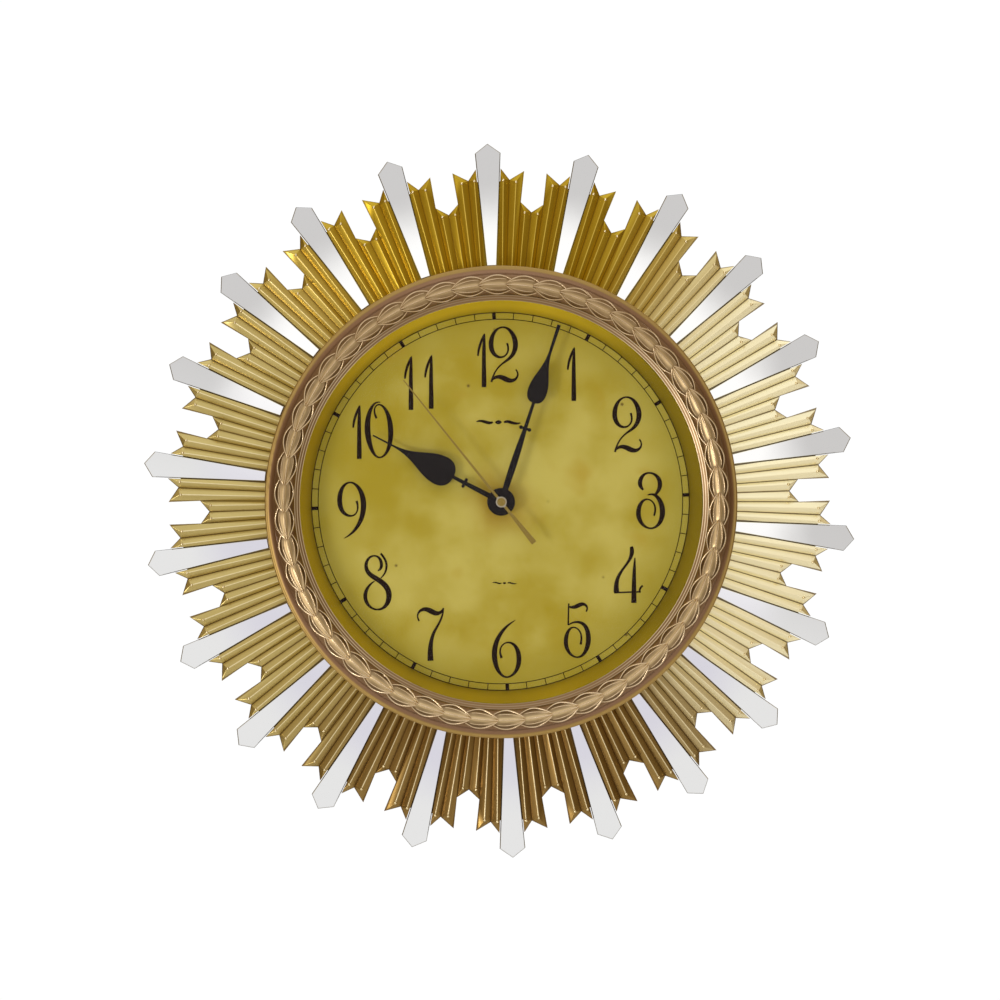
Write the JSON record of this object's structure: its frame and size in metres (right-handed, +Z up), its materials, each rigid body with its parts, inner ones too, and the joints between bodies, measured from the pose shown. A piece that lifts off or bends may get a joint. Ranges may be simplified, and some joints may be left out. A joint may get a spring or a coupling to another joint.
{
  "type": "sunburst wall clock",
  "caption": "Round quartz wall clock in a gold sunburst frame with mirror rays, a leaf-band bezel, a printed dial under glass and a keyhole hanger.",
  "frame": {"origin": "on the clock's main axis, in the plane of the wall that the rear rim rests against", "axes": "+Z up, +Y into the wall, so the dial faces -Y; +X to the right of someone who looks at the dial"},
  "size_m": [0.4526, 0.0635, 0.4572],
  "materials": {
    "gold_moulding": "satin gold paint on moulded plastic",
    "mirror_glass": "silvered flat glass with a ground edge",
    "bezel_gold": "rubbed rose-gold and bronze paint",
    "clear_glass": "clear flat glass",
    "surround_gold": "satin olive-gold paint",
    "dial_paper": "aged yellow printed card",
    "black_plastic": "moulded matte plastic",
    "steel": "plain steel",
    "zinc_steel": "zinc-plated sheet",
    "movement_plastic": "moulded ABS",
    "white_plastic": "natural acetal",
    "rubber": "soft rubber",
    "brass": "turned brass",
    "copper_wire": "enamelled copper wire",
    "circuit_board": "green solder mask",
    "cell_jacket": "printed sleeve, plain",
    "red_plastic": "moulded plastic",
    "hand_black": "matte black enamel on stamped aluminium",
    "hand_gold": "gold lacquer on stamped aluminium"
  },
  "bodies": {
    "case": {"mirror_ray_01": "mirror_glass", "mirror_ray_02": "mirror_glass", "mirror_ray_03": "mirror_glass", "mirror_ray_04": "mirror_glass", "mirror_ray_05": "mirror_glass", "mirror_ray_06": "mirror_glass", "mirror_ray_07": "mirror_glass", "mirror_ray_08": "mirror_glass", "mirror_ray_09": "mirror_glass", "mirror_ray_10": "mirror_glass", "mirror_ray_11": "mirror_glass", "mirror_ray_12": "mirror_glass", "mirror_ray_13": "mirror_glass", "mirror_ray_14": "mirror_glass", "mirror_ray_15": "mirror_glass", "mirror_ray_16": "mirror_glass", "mirror_ray_17": "mirror_glass", "mirror_ray_18": "mirror_glass", "mirror_ray_19": "mirror_glass", "mirror_ray_20": "mirror_glass", "mirror_ray_21": "mirror_glass", "mirror_ray_22": "mirror_glass", "sunburst_frame": "gold_moulding", "bezel_ring": "bezel_gold", "lens_glass": "clear_glass", "dial_surround": "surround_gold", "dial_card": "dial_paper", "dial_plate": "black_plastic", "back_cover": "black_plastic", "case_screws": "steel", "hanger_plate": "zinc_steel", "hanger_screws": "steel", "movement_case": "movement_plastic", "movement_cover": "movement_plastic", "middle_plate": "white_plastic", "rubber_washer": "rubber", "flat_washer": "brass", "mounting_nut": "brass", "stator": "steel", "coil_core": "steel", "coil_bobbin": "white_plastic", "coil_winding": "copper_wire", "stator_screws": "steel", "circuit_board": "circuit_board", "quartz_crystal": "steel", "positive_contact": "zinc_steel", "negative_contact": "zinc_steel"},
    "seconds": {"second_hand": "hand_gold", "seconds_wheel": "white_plastic"},
    "minutes": {"minute_hand": "hand_black", "centre_wheel": "white_plastic"},
    "hours": {"hour_hand": "hand_black", "hour_wheel": "white_plastic"},
    "third": {"third_wheel": "white_plastic"},
    "intermediate": {"intermediate_wheel": "white_plastic"},
    "motor_rotor": {"rotor": "white_plastic"},
    "motion_wheel": {"minute_wheel": "white_plastic"},
    "setting": {"setting_knob": "red_plastic"},
    "cell": {"aa_cell": "cell_jacket"}
  },
  "joints": [
    {"name": "seconds_turn", "type": "hinge", "parent": "case", "child": "seconds", "pos_m": [0, -0.046, 0], "axis": [0, 1, 0], "continuous": true},
    {"name": "minutes_turn", "type": "hinge", "parent": "case", "child": "minutes", "pos_m": [0, -0.043, 0], "axis": [0, 1, 0], "continuous": true},
    {"name": "hours_turn", "type": "hinge", "parent": "case", "child": "hours", "pos_m": [0, -0.039, 0], "axis": [0, 1, 0], "continuous": true},
    {"name": "third_turn", "type": "hinge", "parent": "case", "child": "third", "pos_m": [0.01205, -0.0179, 0.00213], "axis": [0, 1, 0], "continuous": true},
    {"name": "intermediate_turn", "type": "hinge", "parent": "case", "child": "intermediate", "pos_m": [-0.00779, -0.0146, 0.0045], "axis": [0, 1, 0], "continuous": true},
    {"name": "rotor_turn", "type": "hinge", "parent": "case", "child": "motor_rotor", "pos_m": [-0.01067, -0.0172, 0.01239], "axis": [0, 1, 0], "continuous": true},
    {"name": "motion_wheel_turn", "type": "hinge", "parent": "case", "child": "motion_wheel", "pos_m": [-0.00945, -0.0234, -0.00167], "axis": [0, 1, 0], "continuous": true},
    {"name": "setting_turn", "type": "hinge", "parent": "case", "child": "setting", "pos_m": [-0.0181, -0.0125, -0.00481], "axis": [0, 1, 0], "continuous": true},
    {"name": "cell_slide", "type": "slide", "parent": "case", "child": "cell", "axis": [0, 1, 0], "range_m": [0, 0.03]}
  ],
  "couplings": [
    {"joint": "minutes_turn", "follows": "seconds_turn", "ratio": 0.016667},
    {"joint": "hours_turn", "follows": "seconds_turn", "ratio": 0.0013889},
    {"joint": "third_turn", "follows": "seconds_turn", "ratio": -0.13333},
    {"joint": "intermediate_turn", "follows": "seconds_turn", "ratio": -5},
    {"joint": "rotor_turn", "follows": "seconds_turn", "ratio": 30},
    {"joint": "motion_wheel_turn", "follows": "seconds_turn", "ratio": -0.0055556},
    {"joint": "setting_turn", "follows": "seconds_turn", "ratio": 0.02}
  ]
}
